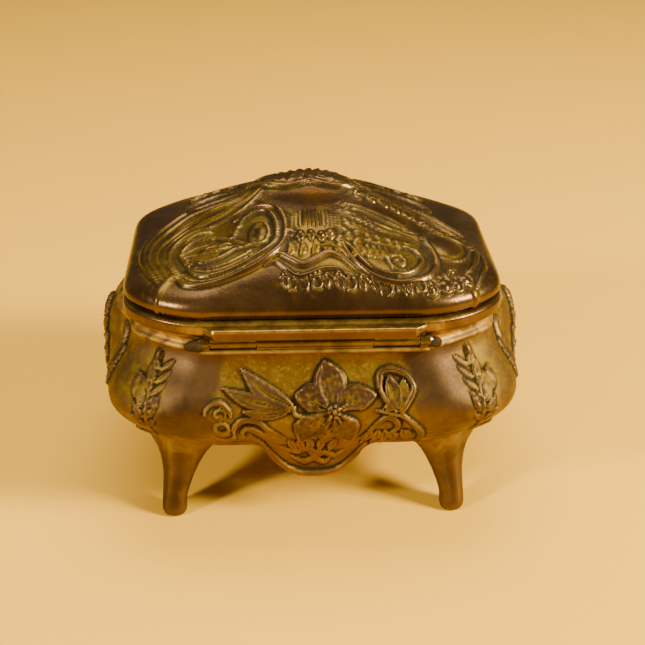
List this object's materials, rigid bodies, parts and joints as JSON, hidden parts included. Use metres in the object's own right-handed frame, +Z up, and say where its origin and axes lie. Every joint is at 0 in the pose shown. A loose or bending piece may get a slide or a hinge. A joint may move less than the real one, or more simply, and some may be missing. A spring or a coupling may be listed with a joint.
{
  "type": "vanity trinket box",
  "caption": "Footed casket of cast metal with swelling sides, a domed hinged lid with scroll and flower relief, and a padded silk lining.",
  "frame": {"origin": "middle of the overall footprint, on the table the feet stand on", "axes": "+Z up, +X along the long side, +Y from the front towards the hinge at the back"},
  "size_m": [0.1324, 0.101, 0.0983],
  "materials": {
    "casting": "bronzed and gilt patina over a zinc-alloy casting, semi-gloss lacquer",
    "hinge": "bronzed, worn on the rounds",
    "pin": "dull",
    "card": "bare paperboard",
    "silk": "faded rose satin",
    "trim": "twisted silk cord, old gold"
  },
  "bodies": {
    "case": {"case_shell": "casting", "bottom_plate": "casting", "leg_front_left": "casting", "leg_front_right": "casting", "leg_back_left": "casting", "leg_back_right": "casting", "case_knuckle": "hinge", "hinge_end_lug_left": "hinge", "hinge_end_lug_right": "hinge", "hinge_pin": "pin", "wall_card": "card", "floor_card": "card", "floor_pad": "silk", "wall_silk": "silk", "wall_trim_cord": "trim"},
    "lid": {"lid_shell": "casting", "lid_hinge_leaf": "casting", "lid_knuckle_left": "hinge", "lid_knuckle_right": "hinge", "lid_card": "card", "lid_pad": "silk", "lid_trim_cord": "trim"}
  },
  "joints": [
    {"name": "lid_hinge", "type": "hinge", "parent": "case", "child": "lid", "pos_m": [0, 0.044, 0.067], "axis": [-1, 0, 0], "range_deg": [0, 100]}
  ]
}
